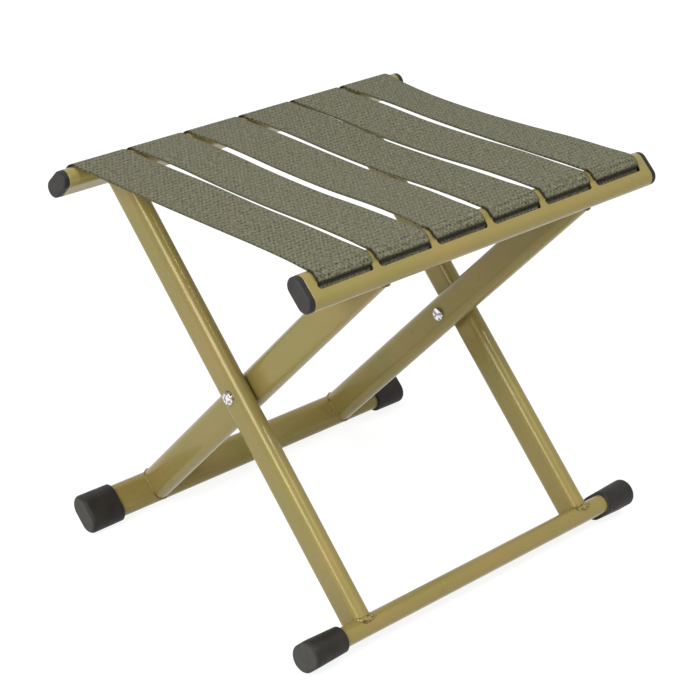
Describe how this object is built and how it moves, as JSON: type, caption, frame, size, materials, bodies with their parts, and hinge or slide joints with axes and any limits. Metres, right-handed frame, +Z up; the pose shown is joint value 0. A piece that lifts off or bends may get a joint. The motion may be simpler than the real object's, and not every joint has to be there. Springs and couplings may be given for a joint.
{
  "type": "camp stool",
  "caption": "Folding stool: two crossed frames of flat-oval steel tube on one pivot line, a seat of parallel webbing straps, plugged rail ends and rubber foot caps.",
  "frame": {"origin": "on the floor under the middle of the open stool, at the bottom centre of its box", "axes": "+X along the rails and the pivot line towards the stool's right, -Y towards the front, +Z up"},
  "size_m": [0.3028, 0.2626, 0.273],
  "materials": {
    "frame_paint": "gloss",
    "foot_rubber": "matt",
    "plug_plastic": "satin",
    "rivet_plating": "bright",
    "washer_nylon": "satin",
    "rod_steel": "drawn",
    "seat_webbing": "woven"
  },
  "bodies": {
    "outer_frame": {"rear_seat_rail": "frame_paint", "front_foot_rail": "frame_paint", "outer_left_leg": "frame_paint", "outer_right_leg": "frame_paint", "outer_left_foot_weld": "frame_paint", "outer_left_seat_weld": "frame_paint", "outer_right_foot_weld": "frame_paint", "outer_right_seat_weld": "frame_paint", "front_left_foot_cap": "foot_rubber", "front_right_foot_cap": "foot_rubber", "rear_left_rail_plug": "plug_plastic", "rear_right_rail_plug": "plug_plastic", "rear_strap_rod": "rod_steel", "left_pivot_rivet": "rivet_plating", "right_pivot_rivet": "rivet_plating", "left_pivot_washer": "washer_nylon", "right_pivot_washer": "washer_nylon", "seat_strap_1": "seat_webbing", "seat_strap_2": "seat_webbing", "seat_strap_3": "seat_webbing", "seat_strap_4": "seat_webbing", "seat_strap_5": "seat_webbing", "seat_strap_6": "seat_webbing"},
    "inner_frame": {"front_seat_rail": "frame_paint", "rear_foot_rail": "frame_paint", "inner_left_leg": "frame_paint", "inner_right_leg": "frame_paint", "inner_left_foot_weld": "frame_paint", "inner_left_seat_weld": "frame_paint", "inner_right_foot_weld": "frame_paint", "inner_right_seat_weld": "frame_paint", "rear_left_foot_cap": "foot_rubber", "rear_right_foot_cap": "foot_rubber", "front_left_rail_plug": "plug_plastic", "front_right_rail_plug": "plug_plastic", "front_strap_rod": "rod_steel"}
  },
  "joints": [
    {"name": "fold", "type": "hinge", "parent": "outer_frame", "child": "inner_frame", "pos_m": [0, 0, 0.13597], "axis": [-1, 0, 0], "range_deg": [0, 77.5], "deforming": ["seat_strap_1", "seat_strap_2", "seat_strap_3", "seat_strap_4", "seat_strap_5", "seat_strap_6"]}
  ]
}
